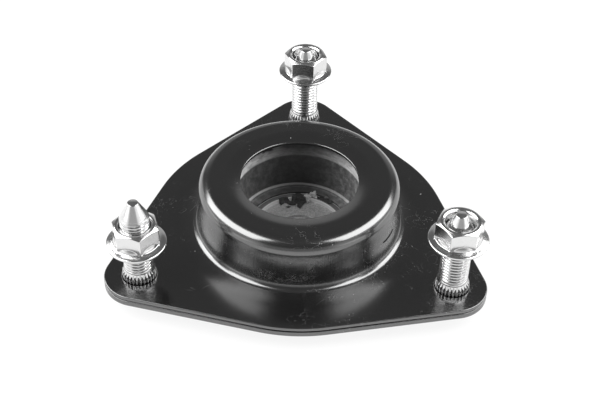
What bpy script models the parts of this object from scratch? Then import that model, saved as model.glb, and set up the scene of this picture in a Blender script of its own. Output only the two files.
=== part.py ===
"""Strut mount: a three-cornered pressed flange with a drawn tower, a lower plate of the same outline,
a rubber insulator that carries the steel rod seat, and three splined studs with hexagon flange nuts.

The mount stands on the boss of its rod seat. Heights are measured from there, and the origin is on
that plane under the middle of the flange's box. Units are metres and +Z is up.
"""
from math import acos, cos, pi, radians, sin, sqrt, tan

import bmesh
import bpy

MM = 0.001

# Fit between pieces that touch or are pressed together on the real mount
CLEARANCE = 0.3 * MM

# Outline that both sheets share: corner arcs round the studs, and a belly round the tower
STUD_CIRCLE_R = 60.0 * MM
CORNER_R = 11.8 * MM
BELLY_R = 52.2 * MM
CORNER_ARC_STEPS = 12
BELLY_ARC_STEPS = 6
EDGE_SOFTENING = 0.35 * MM

# Upper sheet and its drawn tower. The lip's shelf is measured in from the tower's top corner.
UPPER_SHEET = 1.5 * MM
TOWER_TOP_R = 34.6 * MM
TOWER_DRAFT_ANGLE = radians(2.3)
TOWER_HEIGHT = 19.6 * MM
SHOULDER_R = 4.5 * MM
BASE_FILLET_R = 2.0 * MM
LIP_SHELF = 14.5 * MM
LIP_ROLL_WIDTH = 4.4 * MM
LIP_ROLL_R = 8.5 * MM
ROUND_STEPS = 48
WELD_GAP = 0.01 * MM

# Lower sheet: its ledge reaches in under the rubber and holds it in the tower
LOWER_SHEET = 2.0 * MM
LOWER_LEDGE = 3.8 * MM

# Rubber insulator, measured in from the lip's opening and down from its crest
BORE_SETBACK = 1.8 * MM
BORE_TAPER = 0.75 * MM
BAND_WIDTH = 1.7 * MM
BAND_TOP_DROP = 1.8 * MM
BAND_FOOT_DROP = 6.5 * MM
CREST_WIDTH = 1.8 * MM
BEAD_WIDTH = 0.65 * MM
BEAD_HEIGHT = 0.9 * MM
FLOOR_WIDTH = 2.3 * MM
FLOOR_FALL = 0.5 * MM
FLOOR_OVER_RING = 0.4 * MM
GRIP_WALL = 2.9 * MM
FOOT_LIFT = 0.5 * MM
FOOT_ROUND = 0.9 * MM

# Steel rod seat
ROD_HOLE_R = 6.1 * MM
SEAT_DISC = 3.3 * MM
SEAT_DISC_SINK = 4.3 * MM
SEAT_RING_WIDTH = 2.3 * MM
SEAT_RING_RISE = 1.5 * MM
SEAT_FLANGE = 2.7 * MM
BOSS_INSET = 1.1 * MM
BOSS_DEPTH = 1.9 * MM
SEAT_EDGE = 0.25 * MM

# Splined studs
THREAD_R = 4.9 * MM
STUD_LENGTH = 31.3 * MM
SPLINE_TEETH = 28
SPLINE_RISE = 0.75 * MM
SPLINE_DEPTH = 0.42 * MM
SPLINE_TOP = 2.9 * MM
SPLINE_SHOULDER = 0.9 * MM
PILOT_LENGTH = 5.2 * MM
PILOT_STEP = 0.45 * MM
PILOT_TIP_R = 1.72 * MM
HEAD_OVERHANG = 1.75 * MM
HEAD_THICKNESS = 2.4 * MM
HEAD_CHAMFER = 0.4 * MM

# Hexagon flange nuts
NUT_WALL = 1.8 * MM
NUT_HEIGHT = 8.3 * MM
NUT_FLANGE_OVERHANG = 2.9 * MM
NUT_RIM = 1.0 * MM
NUT_FLANGE_ANGLE = radians(24)
NUT_BELL_OVERHANG = 0.9 * MM
NUT_BELL_ANGLE = radians(55)
NUT_CHAMFER_ANGLE = radians(32)
NUT_FACE_MARGIN = 0.5 * MM
NUT_COUNTERSINK = 0.55 * MM
NUT_STEPS = 36
CUTTER_SPARE = 1.0 * MM

# How far each stud stands out of its nut in the photograph, and how far each nut is turned
REAR_STUD_SHOWS = 1.65 * MM
LEFT_STUD_SHOWS = 9.05 * MM
RIGHT_STUD_SHOWS = 2.4 * MM
REAR_NUT_TURN = radians(53)
LEFT_NUT_TURN = radians(48)
RIGHT_NUT_TURN = radians(7)

# The studs in order round their circle, from the rear one on
REAR_STUD_ANGLE = pi / 2
STUDS = {
    "rear": (REAR_STUD_SHOWS, REAR_NUT_TURN),
    "left": (LEFT_STUD_SHOWS, LEFT_NUT_TURN),
    "right": (RIGHT_STUD_SHOWS, RIGHT_NUT_TURN),
}

# Radii that follow from the sizes above
STUD_PITCH = 2 * pi / len(STUDS)
SPLINE_TIP_R = THREAD_R + SPLINE_RISE
STUD_HOLE_R = SPLINE_TIP_R + CLEARANCE
THREAD_BORE_R = THREAD_R + CLEARANCE
WALL_RUN = (TOWER_HEIGHT - SHOULDER_R - BASE_FILLET_R) * tan(TOWER_DRAFT_ANGLE)
LIP_OPENING_R = TOWER_TOP_R - LIP_SHELF
RUBBER_R = TOWER_TOP_R - UPPER_SHEET - CLEARANCE
RUBBER_FOOT_R = RUBBER_R + WALL_RUN
RUBBER_CORNER = SHOULDER_R - UPPER_SHEET - CLEARANCE
LOWER_OPENING_R = RUBBER_FOOT_R - LOWER_LEDGE
NECK_R = LOWER_OPENING_R - CLEARANCE
BORE_TOP_R = LIP_OPENING_R + BORE_SETBACK
BORE_FOOT_R = BORE_TOP_R - BORE_TAPER
FLOOR_OUTER_R = BORE_FOOT_R - 1.5 * BEAD_WIDTH
SEAT_RING_R = FLOOR_OUTER_R - FLOOR_WIDTH - CLEARANCE
SEAT_FLANGE_R = NECK_R - GRIP_WALL - CLEARANCE
BOSS_R = SEAT_RING_R - BOSS_INSET
BOSS_RECESS_R = (ROD_HOLE_R + BOSS_R) / 2

# Heights that follow from the sizes above
DISC_UNDERSIDE = BOSS_DEPTH
DISC_TOP = DISC_UNDERSIDE + SEAT_DISC
RING_TOP = DISC_TOP + SEAT_RING_RISE
SEAT_FLANGE_UNDERSIDE = DISC_UNDERSIDE + SEAT_EDGE
SEAT_FLANGE_TOP = SEAT_FLANGE_UNDERSIDE + SEAT_FLANGE
FLANGE_TOP = DISC_TOP + SEAT_DISC_SINK
TOWER_TOP = FLANGE_TOP + TOWER_HEIGHT
LOWER_TOP = FLANGE_TOP - UPPER_SHEET - CLEARANCE
LOWER_UNDERSIDE = LOWER_TOP - LOWER_SHEET
STUD_TIP = FLANGE_TOP + STUD_LENGTH

# The tower's axis lies off the origin, which is under the middle of the flange's box
TOWER_Y = (BELLY_R - STUD_CIRCLE_R - CORNER_R) / 2


def clear_scene():
    for obj in list(bpy.data.objects):
        bpy.data.objects.remove(obj, do_unlink=True)


def make_collection(name):
    collection = bpy.data.collections.new(name)
    bpy.context.scene.collection.children.link(collection)
    return collection


def make_material(name, colour, roughness, metallic):
    material = bpy.data.materials.new(name)
    material.use_nodes = True
    shader = material.node_tree.nodes["Principled BSDF"]
    shader.inputs["Base Color"].default_value = (*colour, 1.0)
    shader.inputs["Roughness"].default_value = roughness
    shader.inputs["Metallic"].default_value = metallic
    return material


def add_object(name, mesh, collection, material=None):
    obj = bpy.data.objects.new(name, mesh)
    collection.objects.link(obj)
    if material:
        mesh.materials.clear()
        mesh.materials.append(material)
    return obj


def shade(mesh, angle=radians(30)):
    mesh.shade_smooth()
    mesh.set_sharp_from_angle(angle=angle)


def polar(radius, angle, centre=(0.0, 0.0)):
    return (centre[0] + radius * cos(angle), centre[1] + radius * sin(angle))


def arc(centre, radius, start, end, steps):
    """Points along an arc, both ends included. Angles are in radians."""
    return [polar(radius, start + (end - start) * i / steps, centre) for i in range(steps + 1)]


def stud_angle(index):
    return REAR_STUD_ANGLE + index * STUD_PITCH


def flange_outline():
    """The belly circle and the corner circles, joined by the straight lines that touch both."""
    reach = acos((BELLY_R - CORNER_R) / STUD_CIRCLE_R)
    points = []
    for index in range(len(STUDS)):
        middle = stud_angle(index)
        corner = polar(STUD_CIRCLE_R, middle)
        belly_end = middle + STUD_PITCH - reach
        points += arc(corner, CORNER_R, middle - reach, middle + reach, CORNER_ARC_STEPS)
        points += arc((0, 0), BELLY_R, middle + reach, belly_end, BELLY_ARC_STEPS)
    return points


def circle_points(radius, steps, centre=(0.0, 0.0)):
    return [polar(radius, 2 * pi * i / steps, centre) for i in range(steps)]


def add_loop(bm, points, height):
    """A closed ring of vertices and edges at one height."""
    verts = [bm.verts.new((x, y, height)) for x, y in points]
    for first, second in zip(verts, verts[1:] + verts[:1]):
        bm.edges.new((first, second))
    return verts


def flat_sheet(bm, height, opening_r):
    """The flange's face as an open surface, with its middle opening and stud holes left free."""
    add_loop(bm, flange_outline(), height)
    for index in range(len(STUDS)):
        centre = polar(STUD_CIRCLE_R, stud_angle(index))
        add_loop(bm, circle_points(STUD_HOLE_R, SPLINE_TEETH, centre), height)
    add_loop(bm, circle_points(opening_r, ROUND_STEPS), height)
    bmesh.ops.triangle_fill(bm, use_beauty=True, edges=bm.edges[:], normal=(0, 0, 1))


def tower_profile():
    """Outer skin of the tower as (radius, height) from the base fillet up and over to the lip."""
    shoulder = (TOWER_TOP_R - SHOULDER_R, TOWER_TOP - SHOULDER_R)
    fillet = (TOWER_TOP_R + WALL_RUN + BASE_FILLET_R, FLANGE_TOP + BASE_FILLET_R)
    roll = (LIP_OPENING_R + LIP_ROLL_WIDTH, TOWER_TOP - LIP_ROLL_R)
    roll_end = pi / 2 + acos(sqrt(LIP_ROLL_R ** 2 - LIP_ROLL_WIDTH ** 2) / LIP_ROLL_R)
    points = arc(fillet, BASE_FILLET_R, -pi / 2, -pi, 4)
    points += arc(shoulder, SHOULDER_R, 0, pi / 2, 5)
    points += arc(roll, LIP_ROLL_R, pi / 2, roll_end, 4)
    return points


def spin_profile(bm, profile):
    """Turns an open (radius, height) line through a full circle and welds its seam."""
    verts = [bm.verts.new((radius, 0, height)) for radius, height in profile]
    edges = [bm.edges.new(pair) for pair in zip(verts, verts[1:])]
    bmesh.ops.spin(
        bm, geom=verts + edges, cent=(0, 0, 0), axis=(0, 0, 1), angle=2 * pi,
        steps=ROUND_STEPS, use_merge=True, use_duplicate=False,
    )


def sheet_object(name, bm, thickness, collection, material):
    """Closes an open surface into sheet metal and softens its cut edges."""
    bmesh.ops.remove_doubles(bm, verts=bm.verts[:], dist=WELD_GAP)
    bmesh.ops.recalc_face_normals(bm, faces=bm.faces[:])
    if sum(face.normal.z * face.calc_area() for face in bm.faces) < 0:
        bmesh.ops.reverse_faces(bm, faces=bm.faces[:])
    mesh = bpy.data.meshes.new(name)
    bm.to_mesh(mesh)
    bm.free()
    obj = add_object(name, mesh, collection, material)
    shade(mesh)
    obj.location.y = TOWER_Y
    solidify = obj.modifiers.new("sheet thickness", "SOLIDIFY")
    solidify.thickness = thickness
    solidify.offset = -1.0
    solidify.use_even_offset = True
    bevel = obj.modifiers.new("cut edge", "BEVEL")
    bevel.width = EDGE_SOFTENING
    bevel.segments = 1
    bevel.limit_method = "ANGLE"
    bevel.angle_limit = radians(60)
    return obj


def make_upper_shell(collection, material):
    """Flange, tower wall, shoulder and rolled lip in one pressed sheet."""
    profile = tower_profile()
    bm = bmesh.new()
    flat_sheet(bm, FLANGE_TOP, profile[0][0])
    spin_profile(bm, profile)
    return sheet_object("upper_shell", bm, UPPER_SHEET, collection, material)


def make_lower_plate(collection, material):
    """Flat sheet of the same outline that closes the tower from below."""
    bm = bmesh.new()
    flat_sheet(bm, LOWER_TOP, LOWER_OPENING_R)
    return sheet_object("lower_plate", bm, LOWER_SHEET, collection, material)


def turned_object(name, profile, steps, collection, material):
    """A closed (radius, height) loop, listed down its outer side first, turned with a Screw modifier."""
    mesh = bpy.data.meshes.new(name)
    count = len(profile)
    edges = [(i, (i + 1) % count) for i in range(count)]
    mesh.from_pydata([(radius, 0, height) for radius, height in profile], edges, [])
    obj = add_object(name, mesh, collection, material)
    screw = obj.modifiers.new("turned", "SCREW")
    screw.steps = steps
    screw.render_steps = steps
    screw.use_merge_vertices = True
    screw.merge_threshold = WELD_GAP
    screw.use_smooth_shade = True
    return obj


def make_core_seat(collection, material):
    """Steel rod seat: sunk disc with the rod hole, raised ring, hidden flange, and boss underneath."""
    ring_inner_r = SEAT_RING_R - SEAT_RING_WIDTH
    profile = [
        (SEAT_RING_R - SEAT_EDGE, RING_TOP),
        (SEAT_RING_R, RING_TOP - SEAT_EDGE),
        (SEAT_RING_R, SEAT_FLANGE_TOP),
        (SEAT_FLANGE_R, SEAT_FLANGE_TOP),
        (SEAT_FLANGE_R, SEAT_FLANGE_UNDERSIDE),
        (BOSS_R, SEAT_FLANGE_UNDERSIDE),
        (BOSS_R, SEAT_EDGE),
        (BOSS_R - SEAT_EDGE, 0),
        (BOSS_RECESS_R, 0),
        (BOSS_RECESS_R, DISC_UNDERSIDE),
        (ROD_HOLE_R + SEAT_EDGE, DISC_UNDERSIDE),
        (ROD_HOLE_R, DISC_UNDERSIDE + SEAT_EDGE),
        (ROD_HOLE_R, DISC_TOP - SEAT_EDGE),
        (ROD_HOLE_R + SEAT_EDGE, DISC_TOP),
        (ring_inner_r - SEAT_EDGE, DISC_TOP),
        (ring_inner_r, DISC_TOP + SEAT_EDGE),
        (ring_inner_r, RING_TOP - SEAT_EDGE),
        (ring_inner_r + SEAT_EDGE, RING_TOP),
    ]
    obj = turned_object("core_seat", profile, ROUND_STEPS, collection, material)
    obj.location.y = TOWER_Y
    return obj


def make_rubber(collection, material):
    """Moulded insulator: fills the tower, grips the seat's flange and reaches down through the plate."""
    crest = TOWER_TOP - UPPER_SHEET - CLEARANCE
    band_r = BORE_TOP_R + BAND_WIDTH
    ledge = LOWER_TOP + CLEARANCE
    grip_r = SEAT_FLANGE_R + CLEARANCE
    grip_top = SEAT_FLANGE_TOP + CLEARANCE
    grip_underside = SEAT_FLANGE_UNDERSIDE - CLEARANCE
    boss_hole_r = BOSS_R + CLEARANCE
    floor_edge = RING_TOP + FLOOR_OVER_RING
    floor = floor_edge + FLOOR_FALL
    bead = floor + BEAD_HEIGHT
    bead_r = FLOOR_OUTER_R + BEAD_WIDTH / 2
    profile = [
        (band_r + CREST_WIDTH, crest),
        (RUBBER_R - RUBBER_CORNER, crest),
        (RUBBER_R, crest - RUBBER_CORNER),
        (RUBBER_FOOT_R, FLANGE_TOP + BASE_FILLET_R),
        (RUBBER_FOOT_R, ledge),
        (NECK_R, ledge),
        (NECK_R, FOOT_LIFT + FOOT_ROUND),
        (NECK_R - FOOT_ROUND, FOOT_LIFT),
        (boss_hole_r, FOOT_LIFT),
        (boss_hole_r, grip_underside),
        (grip_r, grip_underside),
        (grip_r, grip_top),
        (SEAT_RING_R + CLEARANCE, grip_top),
        (SEAT_RING_R + CLEARANCE, floor_edge),
        (FLOOR_OUTER_R, floor),
        (bead_r, bead - BEAD_WIDTH / 2),
        (bead_r + BEAD_WIDTH / 3, bead),
        (BORE_FOOT_R, bead),
        (BORE_FOOT_R, bead + BEAD_WIDTH / 2),
        (BORE_TOP_R, crest - BAND_FOOT_DROP),
        (band_r, crest - BAND_TOP_DROP),
    ]
    obj = turned_object("rubber_insulator", profile, ROUND_STEPS, collection, material)
    obj.location.y = TOWER_Y
    return obj


def loft(bm, rings):
    """Joins rings of equal count with quads and closes both ends."""
    loops = [[bm.verts.new(point) for point in ring] for ring in rings]
    for lower, upper in zip(loops, loops[1:]):
        for i in range(len(lower)):
            j = (i + 1) % len(lower)
            bm.faces.new((lower[i], lower[j], upper[j], upper[i]))
    bm.faces.new(list(reversed(loops[0])))
    bm.faces.new(loops[-1])


def stud_mesh():
    """Head, splined neck, conical shoulder, thread body and pilot point, lofted ring by ring."""
    count = 2 * SPLINE_TEETH

    def ring(radius, height, groove=0.0):
        """One section: every other point drops into a groove between two spline teeth."""
        points = []
        for i in range(count):
            x, y = polar(radius - groove * (i % 2), 2 * pi * i / count)
            points.append((x, y, height))
        return points

    head_top = LOWER_UNDERSIDE - CLEARANCE
    head_bottom = head_top - HEAD_THICKNESS
    spline_top = FLANGE_TOP + SPLINE_TOP
    pilot = STUD_TIP - PILOT_LENGTH
    head_r = SPLINE_TIP_R + HEAD_OVERHANG
    bm = bmesh.new()
    loft(bm, [
        ring(head_r - HEAD_CHAMFER, head_bottom),
        ring(head_r, head_bottom + HEAD_CHAMFER),
        ring(head_r, head_top),
        ring(SPLINE_TIP_R, head_top, SPLINE_DEPTH),
        ring(SPLINE_TIP_R, spline_top, SPLINE_DEPTH),
        ring(THREAD_R, spline_top + SPLINE_SHOULDER),
        ring(THREAD_R, pilot - PILOT_STEP),
        ring(THREAD_R - PILOT_STEP, pilot),
        ring(PILOT_TIP_R, STUD_TIP),
    ])
    mesh = bpy.data.meshes.new("stud")
    bm.to_mesh(mesh)
    bm.free()
    shade(mesh)
    return mesh


def helper_cone(name, collection, segments, radius_low, radius_high, low, high):
    """A cone or prism between two heights, kept with the cutters."""
    bm = bmesh.new()
    bmesh.ops.create_cone(
        bm, cap_ends=True, segments=segments, radius1=radius_low, radius2=radius_high,
        depth=high - low,
    )
    bmesh.ops.translate(bm, verts=bm.verts[:], vec=(0, 0, (low + high) / 2))
    mesh = bpy.data.meshes.new(name)
    bm.to_mesh(mesh)
    bm.free()
    obj = add_object(name, mesh, collection)
    obj.hide_render = True
    obj.display_type = "WIRE"
    return obj


def add_boolean(obj, other, operation):
    modifier = obj.modifiers.new(other.name, "BOOLEAN")
    modifier.object = other
    modifier.operation = operation
    modifier.solver = "EXACT"


def nut_mesh(cutters):
    """Hexagon trimmed by its chamfer cone, joined to the flange and bell, bored and countersunk."""
    flat_r = THREAD_BORE_R + NUT_WALL
    corner_r = flat_r / cos(pi / 6)
    flange_r = flat_r + NUT_FLANGE_OVERHANG
    face_r = flat_r - NUT_FACE_MARGIN
    trim_r = flange_r + CUTTER_SPARE
    trim_foot = NUT_HEIGHT - (trim_r - face_r) * tan(NUT_CHAMFER_ANGLE)
    cone_top = NUT_RIM + flange_r * tan(NUT_FLANGE_ANGLE)
    bell_foot_r = flat_r + NUT_BELL_OVERHANG
    bell_head_r = flat_r - NUT_BELL_OVERHANG
    bell_foot = cone_top - bell_foot_r * tan(NUT_FLANGE_ANGLE)
    bell_head = bell_foot + (bell_foot_r - bell_head_r) * tan(NUT_BELL_ANGLE)
    sink_r = THREAD_BORE_R + NUT_COUNTERSINK + CUTTER_SPARE

    nut = helper_cone("nut_blank", cutters, 6, corner_r, corner_r, NUT_RIM / 2, NUT_HEIGHT)
    trim = helper_cone("nut_trim_cone", cutters, NUT_STEPS, trim_r, face_r, trim_foot, NUT_HEIGHT)
    body = helper_cone("nut_trim_body", cutters, NUT_STEPS, trim_r, trim_r, 0, trim_foot)
    rim = helper_cone("nut_rim", cutters, NUT_STEPS, flange_r, flange_r, 0, NUT_RIM)
    cone = helper_cone("nut_cone", cutters, NUT_STEPS, flange_r, 0, NUT_RIM, cone_top)
    bell = helper_cone("nut_bell", cutters, NUT_STEPS, bell_foot_r, bell_head_r, bell_foot, bell_head)
    below = -CUTTER_SPARE
    above = NUT_HEIGHT + CUTTER_SPARE
    bore = helper_cone("nut_bore", cutters, NUT_STEPS, THREAD_BORE_R, THREAD_BORE_R, below, above)
    lower_sink = helper_cone(
        "nut_lower_sink", cutters, NUT_STEPS, sink_r, THREAD_BORE_R, below, NUT_COUNTERSINK,
    )
    upper_sink = helper_cone(
        "nut_upper_sink", cutters, NUT_STEPS, THREAD_BORE_R, sink_r,
        NUT_HEIGHT - NUT_COUNTERSINK, above,
    )
    add_boolean(trim, body, "UNION")
    add_boolean(nut, trim, "INTERSECT")
    add_boolean(cone, rim, "UNION")
    add_boolean(nut, cone, "UNION")
    add_boolean(nut, bell, "UNION")
    for cutter in (bore, lower_sink, upper_sink):
        add_boolean(nut, cutter, "DIFFERENCE")
    bpy.context.view_layer.update()
    evaluated = nut.evaluated_get(bpy.context.evaluated_depsgraph_get())
    mesh = bpy.data.meshes.new_from_object(evaluated)
    mesh.name = "flange_nut"
    bpy.data.objects.remove(nut, do_unlink=True)
    shade(mesh)
    return mesh


def main():
    clear_scene()
    parts = make_collection("strut_mount")
    cutters = make_collection("cutters")
    black_paint = make_material("black_paint", (0.012, 0.012, 0.013), 0.22, 0.0)
    rubber = make_material("rubber", (0.035, 0.035, 0.036), 0.62, 0.0)
    seat_steel = make_material("seat_steel", (0.20, 0.20, 0.20), 0.55, 0.7)
    zinc = make_material("zinc", (0.62, 0.62, 0.63), 0.24, 1.0)

    make_upper_shell(parts, black_paint)
    make_lower_plate(parts, black_paint)
    make_rubber(parts, rubber)
    make_core_seat(parts, seat_steel)

    stud = stud_mesh()
    nut = nut_mesh(cutters)
    for index, (name, (shows, turn)) in enumerate(STUDS.items()):
        x, y = polar(STUD_CIRCLE_R, stud_angle(index), (0, TOWER_Y))
        post = add_object("stud_" + name, stud, parts, zinc)
        post.location = (x, y, 0)
        collar = add_object("nut_" + name, nut, parts, zinc)
        collar.location = (x, y, STUD_TIP - shows - NUT_HEIGHT)
        collar.rotation_euler.z = turn
    bpy.context.view_layer.update()


main()
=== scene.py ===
# %% [markdown]
# # A strut mount, dressed for the shelf
# A strut mount joins the top of a car's strut to its body. A black pressed flange carries a round
# tower full of rubber, a steel seat for the strut's rod, and three splined studs with flange
# nuts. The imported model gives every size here. It is loaded first and stays as it is. Each
# visible piece is then made again with the fine detail that the solids leave out, in the very
# same place.

from math import acos, cos, hypot, pi, radians, sin, tan

import bmesh
import bpy
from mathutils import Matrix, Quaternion, Vector, noise
from mathutils.geometry import delaunay_2d_cdt


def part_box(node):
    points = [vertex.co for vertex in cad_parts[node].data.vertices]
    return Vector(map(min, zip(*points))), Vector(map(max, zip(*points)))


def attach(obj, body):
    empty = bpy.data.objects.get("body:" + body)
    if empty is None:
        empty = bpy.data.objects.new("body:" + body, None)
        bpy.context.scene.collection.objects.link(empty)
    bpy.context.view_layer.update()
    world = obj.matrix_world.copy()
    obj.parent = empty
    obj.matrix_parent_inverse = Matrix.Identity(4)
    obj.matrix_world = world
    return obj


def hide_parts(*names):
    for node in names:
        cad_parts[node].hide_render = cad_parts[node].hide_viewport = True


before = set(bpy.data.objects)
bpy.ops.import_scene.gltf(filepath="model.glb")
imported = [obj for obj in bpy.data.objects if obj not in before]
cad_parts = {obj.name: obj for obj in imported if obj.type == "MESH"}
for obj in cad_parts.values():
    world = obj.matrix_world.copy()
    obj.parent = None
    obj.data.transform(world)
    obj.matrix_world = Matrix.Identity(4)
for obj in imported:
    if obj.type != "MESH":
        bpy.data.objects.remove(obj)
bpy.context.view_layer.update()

# %% [markdown]
# ## The camera comes first
# Fitting a camera to the photograph could be done by eye. Here it was solved from the stud
# points, the rim of the tower and the outline of the sheets, so the picture and the model share
# one view. It is a long lens, about 70 mm, from 42 cm away and 41 degrees above the flange.

# %% Camera
MM = 0.001

scene = bpy.context.scene
camera_data = bpy.data.cameras.new("camera")
camera_data.sensor_width = 36.0
camera_data.lens = 69.988
camera_data.clip_start = 0.01
camera = bpy.data.objects.new("camera", camera_data)
camera.location = (6.154 * MM, -315.708 * MM, 283.651 * MM)
camera.rotation_euler = (0.856577, -0.018524, 0.035116)
scene.collection.objects.link(camera)
scene.camera = camera
scene.view_settings.view_transform = "Standard"
print("camera", [round(v, 4) for v in camera.location], "lens", round(camera_data.lens, 1))

# %% [markdown]
# ## Sizes that the pieces share
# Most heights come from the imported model's own boxes, so a new pack moves them along. The rest
# are the designer's numbers, in millimetres. The tower stands 9.8 mm in front of the origin,
# which lies under the middle of the flange.

# %% Shared sizes
TOWER_Y = -9.8 * MM
FLANGE_TOP = 9.5 * MM
UPPER_SHEET = 1.5 * MM
LOWER_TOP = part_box("lower_plate")[1][2]
LOWER_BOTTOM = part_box("lower_plate")[0][2]
TOWER_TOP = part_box("upper_shell")[1][2]
STUD_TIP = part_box("stud_left")[1][2]
HEAD_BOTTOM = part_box("stud_left")[0][2]
STUD_CIRCLE_R = 60.0 * MM
STUD_ANGLES = {"rear": 90.0, "left": 210.0, "right": 330.0}
print("heights in mm:", [round(v / MM, 2) for v in (LOWER_BOTTOM, LOWER_TOP, TOWER_TOP, STUD_TIP)])

# %% [markdown]
# ## Three ways to make a mesh
# Most of this part is turned or pressed. A closed line of radius and height, spun round the
# tower's axis, makes the rubber and the seat. A stack of rings of the same number of points makes
# studs and nuts, because a ring can be round, toothed or six-sided and still join the next one.
# The pressed sheets are rings too, for their rounded edges, with level faces filled in between
# those rings.

# %% Mesh helpers
KEEP_INSIDE = 1
FILL_TOLERANCE = 1e-6


def polar(radius, degrees, centre=(0.0, 0.0)):
    """A flat point at a radius and an angle from a centre."""
    return (centre[0] + radius * cos(radians(degrees)), centre[1] + radius * sin(radians(degrees)))


def arc(centre, radius, start, end, steps):
    """Points along an arc between two angles in degrees, both ends included."""
    return [polar(radius, start + (end - start) * i / steps, centre) for i in range(steps + 1)]


def read_table(table, value):
    """Reads a table of (input, output) pairs, with straight lines between them."""
    for (in0, out0), (in1, out1) in zip(table, table[1:]):
        if value <= in1:
            return out0 + (out1 - out0) * (value - in0) / (in1 - in0)
    return table[-1][1]


def place(name, mesh, body, stands_for=()):
    """Puts a mesh in the scene, on its body, and hides the nodes it replaces."""
    piece = bpy.data.objects.new(name, mesh)
    scene.collection.objects.link(piece)
    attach(piece, body)
    if stands_for:
        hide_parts(*stands_for)
    return piece


def smooth(mesh, degrees):
    """Smooth shading that keeps edges sharper than an angle."""
    mesh.shade_smooth()
    mesh.set_sharp_from_angle(angle=radians(degrees))


def face_outwards(mesh):
    """Makes every face look out of the body that it closes."""
    bm = bmesh.new()
    bm.from_mesh(mesh)
    bmesh.ops.recalc_face_normals(bm, faces=bm.faces[:])
    bm.to_mesh(mesh)
    bm.free()


def mesh_of_rings(name, rings, closed_tube=False):
    """Joins rings of equal count with quads. A closed tube joins the last ring to the first, and
    any other stack is capped at both ends."""
    count = len(rings[0])
    points = [point for ring in rings for point in ring]
    faces = []
    pairs = list(zip(range(len(rings)), range(1, len(rings))))
    if closed_tube:
        pairs.append((len(rings) - 1, 0))
    for low, high in pairs:
        for i in range(count):
            j = (i + 1) % count
            faces.append((low * count + i, low * count + j, high * count + j, high * count + i))
    if not closed_tube:
        faces.append(tuple(reversed(range(count))))
        faces.append(tuple((len(rings) - 1) * count + i for i in range(count)))
    mesh = bpy.data.meshes.new(name)
    mesh.from_pydata(points, [], faces)
    face_outwards(mesh)
    return mesh


def settle_normals(mesh):
    """Level faces stay level, and every other face turns smoothly into them."""
    sums = [Vector() for _ in mesh.vertices]
    level = {}
    for face in mesh.polygons:
        for index in face.vertices:
            sums[index] += face.normal * face.area
            if abs(face.normal.z) > 0.99999:
                level[index] = Vector((0, 0, 1 if face.normal.z > 0 else -1))
    mesh.shade_smooth()
    mesh.normals_split_custom_set_from_vertices(
        [level.get(index, total.normalized()) for index, total in enumerate(sums)]
    )


def turned_mesh(name, profile, steps, shape=None):
    """Spins a closed (radius, height) line in mm. shape(r, degrees, z) may move each point."""
    rings = []
    for radius, height in profile:
        ring = []
        for i in range(steps):
            angle = 360.0 * i / steps
            r, z = shape(radius, angle, height) if shape else (radius, height)
            x, y = polar(r * MM, angle, (0.0, TOWER_Y))
            ring.append((x, y, z * MM))
        rings.append(ring)
    return mesh_of_rings(name, rings, closed_tube=True)


print("mesh helpers ready")

# %% [markdown]
# ## The outline that both sheets share
# The flange is a blank with three rounded corners. Each corner is an arc round its stud, the
# belly between two studs is an arc round the tower, and straight lines touch both. Drawing it by
# hand would leave kinks in the edge's highlight, so the touching points are worked out from the
# radii.

# %% Flange outline
CORNER_R = 11.8 * MM
BELLY_R = 52.2 * MM
CORNER_STEPS = 32
BELLY_STEPS = 24


def flange_outline(inset=0.0):
    """The blank's outline round the tower's axis, drawn in by an even inset."""
    reach = acos((BELLY_R - CORNER_R) / STUD_CIRCLE_R) * 180 / pi
    points = []
    for middle in STUD_ANGLES.values():
        corner = polar(STUD_CIRCLE_R, middle)
        points += arc(corner, CORNER_R - inset, middle - reach, middle + reach, CORNER_STEPS)
        points += arc((0, 0), BELLY_R - inset, middle + reach, middle + 120 - reach, BELLY_STEPS)
    return points


outline = flange_outline()
width = round(2 * max(p[0] for p in outline) / MM, 1)
print("outline of", len(outline), "points, widest", width, "mm")

# %% [markdown]
# ## Sheet metal
# A sheet is sheared, so its edges are upright with a small round above and below. Those edges are
# rings. The two level faces between them are filled with long flat triangles, which keep their
# own straight normals, so the gloss paint shows no ripple.

# %% Sheets from rings and level faces
STUD_HOLE_R = 5.7 * MM
STUD_HOLE_STEPS = 56
WELD = 0.002 * MM


def circle(radius, steps, centre=(0.0, 0.0)):
    """A round loop of flat points."""
    return [polar(radius, 360 * i / steps, centre) for i in range(steps)]


def add_rings(bm, rings):
    """Joins a stack of (points, height) rings with quads."""
    previous = None
    for points, height in rings:
        ring = [bm.verts.new((x, y + TOWER_Y, height)) for x, y in points]
        if previous:
            for i in range(len(ring)):
                j = (i + 1) % len(ring)
                bm.faces.new((previous[i], previous[j], ring[j], ring[i]))
        previous = ring


def add_cut_edge(bm, loop_at, top, bottom, size):
    """A sheared edge: a small quarter-round, the upright cut and another quarter-round."""
    turns = [radians(22.5 * i) for i in range(5)]
    upper = [(loop_at(size * (1 - sin(t))), top - size * (1 - cos(t))) for t in turns]
    lower = [(loop_at(size * (1 - sin(t))), bottom + size * (1 - cos(t))) for t in turns[::-1]]
    add_rings(bm, upper + lower)


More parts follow.
